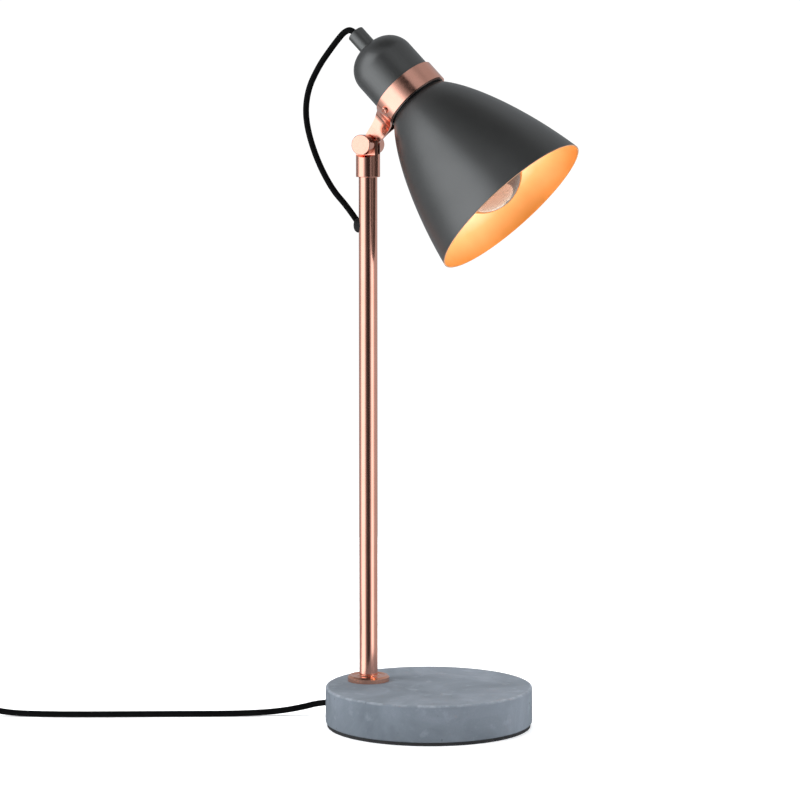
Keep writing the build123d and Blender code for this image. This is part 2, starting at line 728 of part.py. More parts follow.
def plug_body():
    """The flat two-pin body: narrow at the cord, wide and waisted towards the pins."""
    near, far = PLUG_SLEEVE, PLUG_SLEEVE + PLUG_LENGTH
    half = PLUG_W / 2
    outline = [
        (near, -7), (near + 9, -8.5), (near + 17, -half + 1.5), (far - 3, -half),
        (far, -half + 1.5), (far, half - 1.5), (far - 3, half), (near + 17, half - 1.5),
        (near + 9, 8.5), (near, 7)]
    face = make_face(Polyline(*[(x, y, -PLUG_H / 2) for x, y in outline], close=True))
    body = extrude(face, PLUG_H)
    flat_faces = body.faces().filter_by(Axis.Z)
    body = chamfer(flat_faces.edges(), 1.6)
    for side in (1, -1):
        y = side * PIN_HALF_PITCH
        body -= bar((far - 14, y, 0), (far + 1, y, 0), PIN_R)
    return PLUG * body


def plug_pins():
    far = PLUG_SLEEVE + PLUG_LENGTH
    pins = []
    for side in (1, -1):
        y = side * PIN_HALF_PITCH
        pin = bar((far - 14, y, 0), (far + PIN_OUT, y, 0), PIN_R)
        tip = pin.edges().filter_by(GeomType.CIRCLE).sort_by(Axis.X)[-1]
        pins.append(fillet(tip, 1.2))
    return PLUG * Compound(children=pins)


def head_cable():
    return cable("head_cable", HEAD_CABLE_ROUTE)


NODES = [
    concrete_base, base_pad, base_cord_grommet, cord_clamp, cord_clamp_screws,
    base_washer, base_nut, stem_nipple, stem_insert, stem_flange, stem_tube,
    stem_grommet, stem_cable, stem_ferrule, pivot_cap_nut, pivot_knob, pivot_stud,
    neck_strap, strap_screws, strap_nuts, socket_cup, cup_lock_nut, head_nipple,
    cable_gland, gland_grub_screw, holder_cable, holder_wires, holder_cap, holder_skirt,
    holder_insert, holder_thread_shell, holder_contact, holder_terminals,
    terminal_screws, shade, shade_ring, bulb_glass, bulb_crown_mirror, bulb_cap,
    bulb_insulator, bulb_contact, bulb_stem, bulb_filaments, head_cable, mains_cord,
    switch_lower, switch_upper, switch_screws, switch_terminals, switch_cable_stubs,
    switch_pin, switch_rocker, cord_to_coil, cord_coil, cord_tail, plug_sleeve,
    plug_body, plug_pins,
]

os.makedirs("parts", exist_ok=True)
for make in NODES:
    export_step(make(), f"parts/{make.__name__}.step")
for name, place in {"band": BAND_CENTRE, "switch": SWITCH.origin, "coil": COIL_CENTRE,
                    "coil entry": COIL_ENTRY, "coil end": COIL_LEAVE, "plug": PLUG.origin}.items():
    print(name, [round(v, 1) for v in place])
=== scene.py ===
from math import atan2, cos, pi, radians, sin

import bpy
from mathutils import Matrix, Vector


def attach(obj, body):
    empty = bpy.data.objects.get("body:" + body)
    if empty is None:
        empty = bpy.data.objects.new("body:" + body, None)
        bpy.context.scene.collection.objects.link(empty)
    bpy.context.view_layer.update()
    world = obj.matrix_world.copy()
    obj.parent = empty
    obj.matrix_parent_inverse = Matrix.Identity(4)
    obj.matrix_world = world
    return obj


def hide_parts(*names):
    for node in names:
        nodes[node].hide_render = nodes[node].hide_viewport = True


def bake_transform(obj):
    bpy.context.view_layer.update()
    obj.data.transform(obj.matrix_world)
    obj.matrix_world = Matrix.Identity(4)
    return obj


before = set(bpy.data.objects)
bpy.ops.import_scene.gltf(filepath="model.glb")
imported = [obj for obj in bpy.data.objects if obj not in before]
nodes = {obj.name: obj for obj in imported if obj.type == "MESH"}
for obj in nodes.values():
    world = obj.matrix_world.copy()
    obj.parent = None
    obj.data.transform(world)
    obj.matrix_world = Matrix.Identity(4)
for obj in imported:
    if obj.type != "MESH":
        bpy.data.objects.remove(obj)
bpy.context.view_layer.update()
scene = bpy.context.scene

# The head's own frame: its origin is the middle of the strap's band on the shade's axis,
# X points at the tilt pivot's side, Y is the lamp's Y and Z is the shade's axis.
DOWN = radians(45.5)
HEAD_AXIS = Vector((cos(DOWN), 0, -sin(DOWN)))
TO_PIVOT = Vector((-sin(DOWN), 0, -cos(DOWN)))
PIVOT = Vector((-0.048, 0, 0.420))
BAND = PIVOT - TO_PIVOT * 0.0489 - HEAD_AXIS * 0.0024
HEAD = Matrix((
    (TO_PIVOT.x, 0, HEAD_AXIS.x, BAND.x),
    (0, 1, 0, BAND.y),
    (TO_PIVOT.z, 0, HEAD_AXIS.z, BAND.z),
    (0, 0, 0, 1)))

# The concrete base.
BASE_R = 0.075
BASE_TOP = 0.029


# ---------------------------------------------------------------- shader helpers
class Shader:
    """A material's node tree, with short calls for the nodes used here."""

    def __init__(self, name):
        self.material = bpy.data.materials.new(name)
        self.material.use_nodes = True
        self.tree = self.material.node_tree
        self.bsdf = self.tree.nodes["Principled BSDF"]
        self.place = None

    def node(self, kind, **settings):
        made = self.tree.nodes.new(kind)
        for key, value in settings.items():
            setattr(made, key, value)
        return made

    def link(self, source, target):
        self.tree.links.new(source, target)

    def set(self, **values):
        for key, value in values.items():
            self.bsdf.inputs[key.replace("_", " ")].default_value = value

    def where(self):
        """Object coordinates in metres; every CAD node has its origin at the lamp's."""
        if self.place is None:
            self.place = self.node("ShaderNodeTexCoord").outputs["Object"]
        return self.place

    def stretched(self, scale):
        """Object coordinates times a scale, which draws noise out along an axis."""
        mapping = self.node("ShaderNodeMapping")
        mapping.inputs["Scale"].default_value = scale
        self.link(self.where(), mapping.inputs["Vector"])
        return mapping.outputs["Vector"]

    def noise(self, scale, detail=4.0, rough=0.55, vector=None, distortion=0.0):
        made = self.node("ShaderNodeTexNoise")
        made.inputs["Scale"].default_value = scale
        made.inputs["Detail"].default_value = detail
        made.inputs["Roughness"].default_value = rough
        made.inputs["Distortion"].default_value = distortion
        self.link(vector or self.where(), made.inputs["Vector"])
        return made.outputs["Fac"]

    def cells(self, scale):
        made = self.node("ShaderNodeTexVoronoi")
        made.inputs["Scale"].default_value = scale
        self.link(self.where(), made.inputs["Vector"])
        return made.outputs["Distance"]

    def ramp(self, value, stops):
        """A colour ramp; a stop's colour is a tuple, or one number for grey."""
        made = self.node("ShaderNodeValToRGB")
        elements = made.color_ramp.elements
        while len(elements) < len(stops):
            elements.new(0.5)
        for element, (position, colour) in zip(elements, stops):
            element.position = position
            if not isinstance(colour, tuple):
                colour = (colour, colour, colour)
            element.color = (*colour, 1)
        self.link(value, made.inputs["Fac"])
        return made.outputs["Color"]

    def mix(self, factor, a, b, blend="MIX"):
        """a where factor is 0, b where it is 1; each may be a constant or a socket."""
        made = self.node("ShaderNodeMix", data_type="RGBA", blend_type=blend)
        for name, value in (("Factor", factor), ("A", a), ("B", b)):
            kind = "Factor_Float" if name == "Factor" else f"{name}_Color"
            socket = next(s for s in made.inputs if s.identifier == kind)
            if isinstance(value, tuple):
                socket.default_value = (*value, 1)
            elif isinstance(value, (int, float)):
                socket.default_value = value
            else:
                self.link(value, socket)
        return next(s for s in made.outputs if s.identifier == "Result_Color")

    def span(self, value, low, high, to_low=0.0, to_high=1.0):
        """Carries low...high over to to_low...to_high, and holds the ends."""
        made = self.node("ShaderNodeMapRange")
        ends = {"From Min": low, "From Max": high, "To Min": to_low, "To Max": to_high}
        for name, number in ends.items():
            made.inputs[name].default_value = number
        self.link(value, made.inputs["Value"])
        return made.outputs["Result"]

    def maths(self, operation, a, b=None):
        made = self.node("ShaderNodeMath", operation=operation)
        for socket, value in zip(made.inputs, (a, b)):
            if value is None:
                continue
            if isinstance(value, (int, float)):
                socket.default_value = value
            else:
                self.link(value, socket)
        return made.outputs["Value"]

    def axis(self, letter):
        made = self.node("ShaderNodeSeparateXYZ")
        self.link(self.where(), made.inputs["Vector"])
        return made.outputs[letter]

    def edges(self, low=0.51, high=0.58):
        """1 on outer edges, 0 on flats; materials here use it to paint edge highlights."""
        pointy = self.node("ShaderNodeNewGeometry").outputs["Pointiness"]
        return self.span(pointy, low, high)

    def bump(self, height, distance, strength=1.0, under=None):
        made = self.node("ShaderNodeBump")
        made.inputs["Strength"].default_value = strength
        made.inputs["Distance"].default_value = distance
        self.link(height, made.inputs["Height"])
        if under is not None:
            self.link(under, made.inputs["Normal"])
        return made.outputs["Normal"]

    def into(self, socket, source):
        self.link(source, self.bsdf.inputs[socket])


# ---------------------------------------------------------------- materials
def concrete():
    """Clouded grey concrete: pitted, with painted shade in the pits, painted shade darkening its
    side, and a painted highlight along the top edge, broken up by noise.
    """
    s = Shader("cast_concrete")
    clouds = s.noise(20, 6, 0.62, distortion=0.6)
    blotch = s.noise(70, 5, 0.65)
    grit = s.noise(900, 3, 0.7)
    colour = s.ramp(clouds, [
        (0.30, (0.122, 0.141, 0.163)), (0.47, (0.162, 0.184, 0.210)),
        (0.60, (0.194, 0.217, 0.248)), (0.75, (0.236, 0.262, 0.296))])
    colour = s.mix(s.ramp(blotch, [(0.56, 0.0), (0.76, 0.45)]), colour, (0.34, 0.37, 0.41))
    colour = s.mix(s.span(grit, 0.3, 0.7, 0.0, 0.22), colour, (0.13, 0.145, 0.16))
    pits = s.ramp(s.cells(150), [(0.0, 0.0), (0.16, 1.0)])
    keep = s.ramp(s.noise(60, 2), [(0.52, 1.0), (0.60, 0.0)])
    pits = s.mix(keep, pits, (1, 1, 1))
    # The pits are painted dark: painted shade inside them.
    colour = s.mix(s.maths("SUBTRACT", 1.0, pits), colour, (0.09, 0.10, 0.11))
    x, y, z = (s.axis(letter) for letter in "XYZ")
    squares = s.maths("ADD", s.maths("MULTIPLY", x, x), s.maths("MULTIPLY", y, y))
    radius = s.maths("SQRT", squares)
    # Painted shade: the base's side is multiplied darker than its top.
    painted_side_shade = s.span(radius, BASE_R - 0.0014, BASE_R - 0.0002)
    colour = s.mix(painted_side_shade, colour, (0.84, 0.86, 0.88), "MULTIPLY")
    # Painted highlight: a pale band along the top edge, its strength broken up by noise.
    outer = s.span(radius, BASE_R - 0.0024, BASE_R - 0.0008)
    upper = s.span(z, BASE_TOP - 0.0018, BASE_TOP - 0.0006)
    top_highlight_breakup = s.span(s.noise(140, 4, 0.6), 0.40, 0.62, 0.08, 0.42)
    painted_top_edge_highlight = s.maths("MULTIPLY", s.maths("MULTIPLY", outer, upper), top_highlight_breakup)
    colour = s.mix(painted_top_edge_highlight, colour, (0.42, 0.45, 0.49))
    s.into("Base Color", colour)
    s.into("Roughness", s.span(clouds, 0.3, 0.7, 0.78, 0.92))
    s.set(Specular_IOR_Level=0.3)
    rough = s.bump(grit, 0.00012, 0.7)
    rough = s.bump(clouds, 0.0009, 0.35, rough)
    s.into("Normal", s.bump(pits, 0.0006, 0.8, rough))
    return s.material


def metal(name, base, dark, rough, streaks=(1, 1, 1), grain=600.0, depth=0.00002, spread=0.06):
    """A polished or satin metal with fine polishing lines, faint staining and a painted highlight
    on its edges.
    """
    s = Shader(name)
    lines = s.noise(grain, 3, 0.6, s.stretched(streaks))
    stain = s.noise(38, 4, 0.55)
    colour = s.mix(s.ramp(stain, [(0.42, 0.0), (0.72, 0.45)]), base, dark)
    # Painted highlight: edges get a brighter copy of the base colour.
    painted_edge_highlight = tuple(min(1.0, c * 1.2) for c in base)
    s.into("Base Color", s.mix(s.maths("MULTIPLY", s.edges(), 0.4), colour, painted_edge_highlight))
    s.set(Metallic=1.0)
    s.into("Roughness", s.span(lines, 0.3, 0.7, rough - spread, rough + spread))
    s.into("Normal", s.bump(lines, depth, 0.5))
    return s.material


COPPER = (0.95, 0.45, 0.34)
COPPER_DARK = (0.80, 0.30, 0.20)


def grey_coat():
    """Satin metallic powder coat, dark warm grey, with a painted highlight on its edges."""
    s = Shader("grey_satin_coat")
    orange_peel = s.noise(1500, 2, 0.5)
    tone = s.noise(20, 3, 0.5)
    colour = s.ramp(tone, [(0.3, (0.116, 0.115, 0.112)), (0.7, (0.135, 0.134, 0.131))])
    speck = s.ramp(s.cells(2600), [(0.0, 1.0), (0.10, 0.0)])
    colour = s.mix(s.maths("MULTIPLY", speck, 0.25), colour, (0.21, 0.21, 0.205))
    # Painted highlight: edges are mixed towards a lighter grey.
    colour = s.mix(s.maths("MULTIPLY", s.edges(0.53, 0.62), 0.25), colour, (0.19, 0.19, 0.18))
    s.into("Base Color", colour)
    s.set(Metallic=0.92, Specular_IOR_Level=0.4)
    s.into("Roughness", s.span(orange_peel, 0.3, 0.7, 0.33, 0.40))
    s.into("Normal", s.bump(orange_peel, 0.00003, 0.45))
    return s.material


def shade_lining():
    """Copper-gold inside of the lit shade, with the bulb's light painted on as emission and as base
    colour: palest beside the bulb, deep orange at the rim.
    """
    s = Shader("shade_lining")
    along = s.axis("Z")
    cloud = s.noise(30, 3, 0.5)
    grain = s.noise(1100, 2, 0.5)
    place = s.maths("ADD", along, s.maths("MULTIPLY", s.maths("SUBTRACT", cloud, 0.5), 0.012))
    # Painted light: this emission along the shade's axis stands in for the bulb's light falling on
    # the lining.
    glow = s.ramp(s.span(place, 0.010, 0.111), [
        (0.0, (0.55, 0.30, 0.12)), (0.30, (1.0, 0.97, 1.0)), (0.58, (1.0, 0.97, 0.90)),
        (0.82, (0.50, 0.27, 0.08)), (1.0, (0.32, 0.09, 0.012))])
    # Painted shade: the base colour is paler near the bulb and deeper orange towards the rim.
    inner = s.mix(s.span(cloud, 0.3, 0.7, 0.0, 0.4), (0.84, 0.54, 0.32), (0.78, 0.48, 0.27))
    outer = s.mix(s.span(cloud, 0.3, 0.7, 0.0, 0.4), (0.60, 0.25, 0.055), (0.55, 0.215, 0.045))
    s.into("Base Color", s.mix(s.span(place, 0.075, 0.108), inner, outer))
    s.set(Metallic=0.35)
    s.into("Roughness", s.span(grain, 0.3, 0.7, 0.36, 0.48))
    s.into("Normal", s.bump(grain, 0.00003, 0.4))
    s.into("Emission Color", glow)
    s.set(Emission_Strength=0.72)
    return s.material


def shade_rim():
    """The shade's bare turned edge."""
    s = Shader("shade_rim_bare_edge")
    wear = s.noise(300, 3)
    s.into("Base Color", s.mix(wear, (0.95, 0.52, 0.30), (0.70, 0.34, 0.17)))
    s.set(Metallic=0.6)
    s.into("Roughness", s.span(wear, 0.3, 0.7, 0.3, 0.5))
    return s.material


def glass():
    """Thin clear lamp glass that lets light out without noise."""
    s = Shader("lamp_glass")
    film = s.noise(60, 3)
    s.set(Base_Color=(1.0, 0.88, 0.74, 1), IOR=1.48, Transmission_Weight=1.0)
    s.into("Roughness", s.span(film, 0.3, 0.7, 0.0, 0.03))
    out = s.tree.nodes["Material Output"]
    path = s.node("ShaderNodeLightPath")
    clear = s.node("ShaderNodeBsdfTransparent")
    either = s.node("ShaderNodeMixShader")
    s.link(path.outputs["Is Shadow Ray"], either.inputs["Fac"])
    s.link(s.bsdf.outputs["BSDF"], either.inputs[1])
    s.link(clear.outputs["BSDF"], either.inputs[2])
    s.link(either.outputs["Shader"], out.inputs["Surface"])
    return s.material


def soft_black(name, colour, rough, grain, depth, shine=0.25):
    """Rubber, cable sheath or moulded black plastic, with pale dust and a painted highlight on its
    edges.
    """
    s = Shader(name)
    fine = s.noise(grain, 3, 0.6)
    dust = s.noise(90, 4, 0.6)
    dust_and_edge_highlight = tuple(c * 1.6 + 0.003 for c in colour)
    tone = s.mix(s.ramp(dust, [(0.45, 0.0), (0.75, 0.5)]), colour, dust_and_edge_highlight)
    # Painted highlight: edges are mixed towards the same pale colour as the dust.
    tone = s.mix(s.maths("MULTIPLY", s.edges(0.53, 0.62), 0.3), tone, dust_and_edge_highlight)
    s.into("Base Color", tone)
    s.into("Roughness", s.span(fine, 0.3, 0.7, rough - 0.07, rough + 0.07))
    s.set(Specular_IOR_Level=shine)
    s.into("Normal", s.bump(fine, depth, 0.6))
    return s.material


def glow(name, colour, strength):
    """A lit filament."""
    s = Shader(name)
    bands = s.noise(400, 2)
    s.into("Emission Color", s.mix(bands, colour, tuple(c * 0.9 for c in colour)))
    s.into("Base Color", s.mix(bands, (0.9, 0.75, 0.35), (0.8, 0.62, 0.25)))
    s.set(Emission_Strength=strength)
    return s.material


def plain_solid(name, colour, rough):
    """Moulded or fired material with a slight mottle and a painted highlight on its edges."""
    s = Shader(name)
    fine = s.noise(500, 3, 0.6)
    mottle = s.noise(45, 4)
    dark = tuple(c * 0.78 for c in colour)
    tone = s.mix(s.ramp(mottle, [(0.4, 0.0), (0.7, 0.7)]), colour, dark)
    # Painted highlight: edges get a brighter copy of the colour.
    painted_edge_highlight = tuple(min(1.0, c * 1.25) for c in colour)
    s.into("Base Color", s.mix(s.maths("MULTIPLY", s.edges(), 0.35), tone, painted_edge_highlight))
    s.into("Roughness", s.span(fine, 0.3, 0.7, rough - 0.06, rough + 0.06))
    s.into("Normal", s.bump(fine, 0.00004, 0.5))
    return s.material


LOOKS = {
    "concrete": concrete(),
    "pad": soft_black("foam_pad", (0.020, 0.020, 0.021), 0.85, 2500, 0.0001),
    "rubber": soft_black("black_rubber", (0.005, 0.005, 0.005), 0.55, 1500, 0.00003),
    "sheath": soft_black("cable_sheath", (0.002, 0.002, 0.0021), 0.6, 1800, 0.00002, 0.06),
    "plastic": soft_black("black_moulding", (0.012, 0.012, 0.013), 0.36, 1400, 0.00004),
    "tube": metal("copper_tube", COPPER, COPPER_DARK, 0.17, (1, 1, 0.02), 900),
    "copper": metal("copper_polished", COPPER, COPPER_DARK, 0.16),
    "flange": metal(
        "copper_turned", (0.95, 0.46, 0.33), (0.80, 0.31, 0.19), 0.17, grain=700, depth=0.00001),
    "steel": metal("zinc_steel", (0.72, 0.73, 0.75), (0.52, 0.53, 0.55), 0.30),
    "brass": metal("brass", (0.86, 0.68, 0.33), (0.62, 0.45, 0.18), 0.28),
    "nickel": metal("nickel_plate", (0.74, 0.72, 0.67), (0.55, 0.53, 0.50), 0.24),
    "solder": metal("solder", (0.62, 0.62, 0.63), (0.42, 0.42, 0.43), 0.42),
    "mirror": metal(
        "copper_mirror", (0.45, 0.29, 0.25), (0.34, 0.19, 0.15), 0.12, depth=0.000005, spread=0.03),
    "coat": grey_coat(),
    "lining": shade_lining(),
    "rim": shade_rim(),
    "glass": glass(),
    "filament": glow("lit_filament", (1.0, 0.66, 0.28), 10.0),
    "nylon": plain_solid("white_nylon", (0.72, 0.71, 0.66), 0.45),
    "ceramic": plain_solid("glazed_ceramic", (0.80, 0.77, 0.70), 0.28),
    "vitrite": plain_solid("dark_glass_bead", (0.030, 0.022, 0.035), 0.22),
    "insulation": plain_solid("wire_insulation", (0.22, 0.10, 0.05), 0.48),
}

LOOK_OF = {
    "concrete_base": "concrete", "base_pad": "pad", "base_cord_grommet": "rubber",
    "cord_clamp": "nylon", "cord_clamp_screws": "steel", "base_washer": "steel",
    "base_nut": "steel", "stem_nipple": "steel", "stem_insert": "brass",
    "stem_flange": "flange", "stem_tube": "tube", "stem_grommet": "rubber",
    "stem_cable": "sheath", "stem_ferrule": "tube", "pivot_cap_nut": "copper",
    "pivot_knob": "copper", "pivot_stud": "steel", "neck_strap": "copper",
    "strap_screws": "copper", "strap_nuts": "steel", "socket_cup": "coat",
    "cup_lock_nut": "steel", "head_nipple": "steel", "cable_gland": "coat",
    "gland_grub_screw": "nylon", "holder_cable": "sheath", "holder_wires": "insulation",
    "holder_cap": "plastic", "holder_skirt": "plastic", "holder_insert": "ceramic",
    "holder_thread_shell": "brass", "holder_contact": "brass", "holder_terminals": "brass",
    "terminal_screws": "steel", "shade_ring": "plastic", "bulb_glass": "glass",
    "bulb_crown_mirror": "mirror", "bulb_cap": "nickel", "bulb_insulator": "vitrite",
    "bulb_contact": "solder", "bulb_stem": "glass", "bulb_filaments": "filament",
    "switch_lower": "plastic", "switch_upper": "plastic", "switch_screws": "steel",
    "switch_terminals": "brass", "switch_cable_stubs": "sheath", "switch_pin": "steel",
    "switch_rocker": "plastic", "plug_sleeve": "rubber", "plug_body": "plastic",
    "plug_pins": "nickel",
}
for name, look in LOOK_OF.items():
    for slot in nodes[name].material_slots:
        slot.material = LOOKS[look]


# ---------------------------------------------------------------- mesh helpers
def add_mesh(name, points, faces, looks, indices=None, matrix=None):
    """A smooth-shaded mesh; indices give each face's place in looks."""
    mesh = bpy.data.meshes.new(name)
    mesh.from_pydata([tuple(p) for p in points], [], faces)
    for look in looks:
        mesh.materials.append(LOOKS[look])
    for polygon in mesh.polygons:
        polygon.use_smooth = True
        if indices:
            polygon.material_index = indices[polygon.index]
    piece = bpy.data.objects.new(name, mesh)
    scene.collection.objects.link(piece)
    if matrix is not None:
        piece.matrix_world = matrix
    return piece


def lathe(name, outline, looks, segments, matrix):
    """A closed ring: outline's (radius, height, look index) go once round its section."""
    count = len(outline)
    points, faces, indices = [], [], []
    for step in range(segments):
        angle = 2 * pi * step / segments
        points += [(r * cos(angle), r * sin(angle), z) for r, z, _ in outline]
    for step in range(segments):
        here, there = step * count, (step + 1) % segments * count
        for i in range(count):
            j = (i + 1) % count
            faces.append((here + i, there + i, there + j, here + j))
            indices.append(outline[i][2])
    return add_mesh(name, points, faces, looks, indices, matrix)


def bezier(a, b, c, d, steps):
    a, b, c, d = map(Vector, (a, b, c, d))
    for step in range(steps + 1):
        t = step / steps
        yield a * (1 - t)**3 + b * 3 * t * (1 - t)**2 + c * 3 * t**2 * (1 - t) + d * t**3


def route_line(name, route, resolution):
    """Points along the NURBS spline that a route's points control."""
    curve = bpy.data.curves.new(name, "CURVE")
    curve.dimensions = "3D"
    spline = curve.splines.new("NURBS")
    spline.points.add(len(route) - 1)
    for point, place in zip(spline.points, route):
        point.co = (*place, 1)
    spline.order_u = 3
    spline.use_endpoint_u = True
    spline.resolution_u = resolution
    bare = bpy.data.objects.new(name, curve)
    mesh = bpy.data.meshes.new_from_object(bare)
    line = [v.co.copy() for v in mesh.vertices]
    bpy.data.objects.remove(bare)
    bpy.data.meshes.remove(mesh)
    bpy.data.curves.remove(curve)
    return line


def tube_rings(line, radius, sides, first=0):
    """Points and faces of a capped tube that follows a line without twisting."""
    points, faces = [], []
    across = None
    for i, here in enumerate(line):
        along = line[min(i + 1, len(line) - 1)] - line[max(i - 1, 0)]
        along.normalize()
        if across is None:
            across = along.orthogonal().normalized()
        across = (across - along * across.dot(along)).normalized()
        up = along.cross(across)
        for side in range(sides):
            turn = 2 * pi * side / sides
            points.append(here + (across * cos(turn) + up * sin(turn)) * radius)
    for i in range(len(line) - 1):
        for side in range(sides):
            a, b = first + i * sides, first + (i + 1) * sides
            after = (side + 1) % sides
            faces.append((a + side, a + after, b + after, b + side))
    last = first + (len(line) - 1) * sides
    faces.append(tuple(range(first + sides - 1, first - 1, -1)))
    faces.append(tuple(range(last, last + sides)))
    return points, faces


# ---------------------------------------------------------------- cords
CORD_R = 0.00225
CORD_ON_TABLE_Z = 0.0023
# The way the lead runs through the switch, and the level direction square to it.
LEAD_DIR = Vector((-12 / 13, -5 / 13, 0))
LEAD_SIDE = Vector((-5 / 13, 12 / 13, 0))
HEAD_CABLE_ROUTE = [
    (-0.0557, 0, 0.4976), (-0.0606, 0, 0.5025), (-0.0662, 0, 0.5010), (-0.0715, 0, 0.4955),
    (-0.0790, 0, 0.4865), (-0.0870, 0, 0.4760), (-0.0960, 0, 0.4590), (-0.0980, 0, 0.4380),
    (-0.0900, 0, 0.4115), (-0.0770, 0, 0.3880), (-0.0644, 0, 0.3752), (-0.0575, 0, 0.3660),
]
MAINS_ROUTE = [
    (-0.081, 0, 0.010), (-0.089, -0.001, 0.0090), (-0.100, -0.006, 0.0058),
    (-0.116, -0.015, 0.0031), (-0.136, -0.0265, 0.0023), (-0.156, -0.037, 0.0023),
    (-0.186, -0.0505, 0.0023), (-0.222, -0.0675, 0.0023), (-0.262, -0.0855, 0.0023),
    (-0.296, -0.095, 0.0023), (-0.312, -0.102, 0.0065), (-0.324, -0.107, 0.0065),
]
SWITCH_LENGTH = 0.065
STUB_END = 0.016  # from the switch's middle to each cut end of the lead inside it
# Distances past the switch's far end, along the lead and aside.
STEP_PAST_SWITCH = 0.012
TABLE_PAST_SWITCH = 0.027
TABLE_ASIDE = 0.0006
COIL_PAST_SWITCH = 0.043
COIL_OUTER_R = 0.0366
COIL_INNER_R = 0.0175
COIL_LAYER_TURNS = 4.25
TURN_POINTS = 16
RISE_POINTS = 4  # the inmost turn climbs to the upper layer over this many points
COIL_LOW_Z = 0.00235
COIL_TOP_Z = 0.0068
PLUG_PAST_COIL = 0.030
PLUG_Z = 0.0070
PLUG_STRAIGHT = 0.014
MAINS_SIDES = 16
HEAD_CABLE_SIDES = 20


def mains_route():
    """Control points: base, switch, table, two layers of turns, plug. Also the switch's end."""
    route = [Vector(p) for p in MAINS_ROUTE]
    switch_end = route[-1] + LEAD_DIR * SWITCH_LENGTH
    step = switch_end + LEAD_DIR * STEP_PAST_SWITCH
    table = switch_end + LEAD_DIR * TABLE_PAST_SWITCH + LEAD_SIDE * TABLE_ASIDE
    table.z = CORD_ON_TABLE_Z
    entry = switch_end + LEAD_DIR * COIL_PAST_SWITCH
    centre = entry + LEAD_SIDE * COIL_OUTER_R
    route += [switch_end, step, table]
    wide = 1 / cos(pi / TURN_POINTS)  # the spline cuts inside its control points
    steps = int(COIL_LAYER_TURNS * TURN_POINTS)
    begin = atan2(-LEAD_SIDE.y, -LEAD_SIDE.x)
    for i in range(2 * steps + 1):
        inward = min(i, 2 * steps - i) / steps
        radius = (COIL_OUTER_R + (COIL_INNER_R - COIL_OUTER_R) * inward) * wide
        angle = begin - 2 * pi * i / TURN_POINTS
        rise = min(max((i - steps) / RISE_POINTS + 0.5, 0), 1)
        z = COIL_LOW_Z + (COIL_TOP_Z - COIL_LOW_Z) * rise
        route.append(Vector((centre.x + radius * cos(angle), centre.y + radius * sin(angle), z)))
    leave = centre + LEAD_SIDE * COIL_OUTER_R
    plug = leave - LEAD_DIR * PLUG_PAST_COIL
    plug.z = PLUG_Z
    return route + [plug + LEAD_DIR * PLUG_STRAIGHT, plug], switch_end


def mains_lead():
    """The whole lead as one tube from base to plug, cut where the switch holds its two ends."""
    route, switch_end = mains_route()
    line = route_line("mains_lead_route", route, 6)
    start = Vector(MAINS_ROUTE[-1])
    middle = (start + switch_end) / 2
    past = [(p - middle).dot(LEAD_DIR) for p in line]
    near = next(i for i, way in enumerate(past) if way > -STUB_END)
    far = next(i for i, way in enumerate(past) if i > near and way > STUB_END)
    before = line[:near] + [middle - LEAD_DIR * STUB_END]
    beyond = [middle + LEAD_DIR * STUB_END] + line[far:]
    points, faces = tube_rings(before, CORD_R, MAINS_SIDES)
    more, after = tube_rings(beyond, CORD_R, MAINS_SIDES, len(points))
    lead = add_mesh("mains_lead", points + more, faces + after, ["sheath"])
    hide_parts("mains_cord", "switch_cable_stubs", "cord_to_coil", "cord_coil", "cord_tail")
    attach(lead, "stand")


def head_lead():
    """The cable from the gland to the stem, as one tube along its route."""
    line = route_line("head_lead_route", [Vector(p) for p in HEAD_CABLE_ROUTE], 10)
    points, faces = tube_rings(line, CORD_R, HEAD_CABLE_SIDES)
    lead = add_mesh("head_lead", points, faces, ["sheath"])
    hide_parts("head_cable")
    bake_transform(lead)


# ---------------------------------------------------------------- shade
SHADE_WALL = 0.0009
SHADE_HOLE_R = 0.0205
SHADE_NECK_S = 0.0096
# The outside's Bezier curve from neck to mouth, as (radius, place along the shade's axis).
SHADE_CURVE = [(0.0236, 0.0101), (0.0389, 0.0277), (0.0549, 0.0698), (0.0626, 0.1109)]
RIM_ROUNDING = 0.0003
PROFILE_STEPS = 64
SHADE_SEGMENTS = 160
COAT, LINING, RIM = range(3)


def shade_bell():
    """The spun bell: grey outside, copper-gold lining, a bare turned edge between them."""
    start, lift, reach, mouth = [Vector(p) for p in SHADE_CURVE]

    def inward(tangent):
        return Vector((-tangent.y, tangent.x)).normalized() * SHADE_WALL

    at_neck, at_mouth = inward(lift - start), inward(mouth - reach)
    lip = mouth + at_mouth
    back = (reach - mouth).normalized() * RIM_ROUNDING
    outside = list(bezier(start, lift, reach, mouth, PROFILE_STEPS))
    inside = list(bezier(start + at_neck, lift + at_neck, reach + at_mouth, lip, PROFILE_STEPS))
    outline = [(SHADE_HOLE_R, SHADE_NECK_S, COAT), (start.x - 0.0012, SHADE_NECK_S, COAT),
               (start.x - 0.0004, SHADE_NECK_S + 0.0001, COAT)]
    outline += [(*p, COAT) for p in outside[:-1] + [mouth + back]]
    outline += [(*mouth, RIM)]
    outline += [(*p, LINING) for p in [lip, lip + back] + inside[-2::-1]]
    outline += [(inside[0].x - 0.0008, SHADE_NECK_S + SHADE_WALL, LINING),
                (SHADE_HOLE_R, SHADE_NECK_S + SHADE_WALL, COAT)]
    bell = lathe("shade_bell", outline, ["coat", "lining", "rim"], SHADE_SEGMENTS, HEAD)
    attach(bell, "head")
    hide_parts("shade")


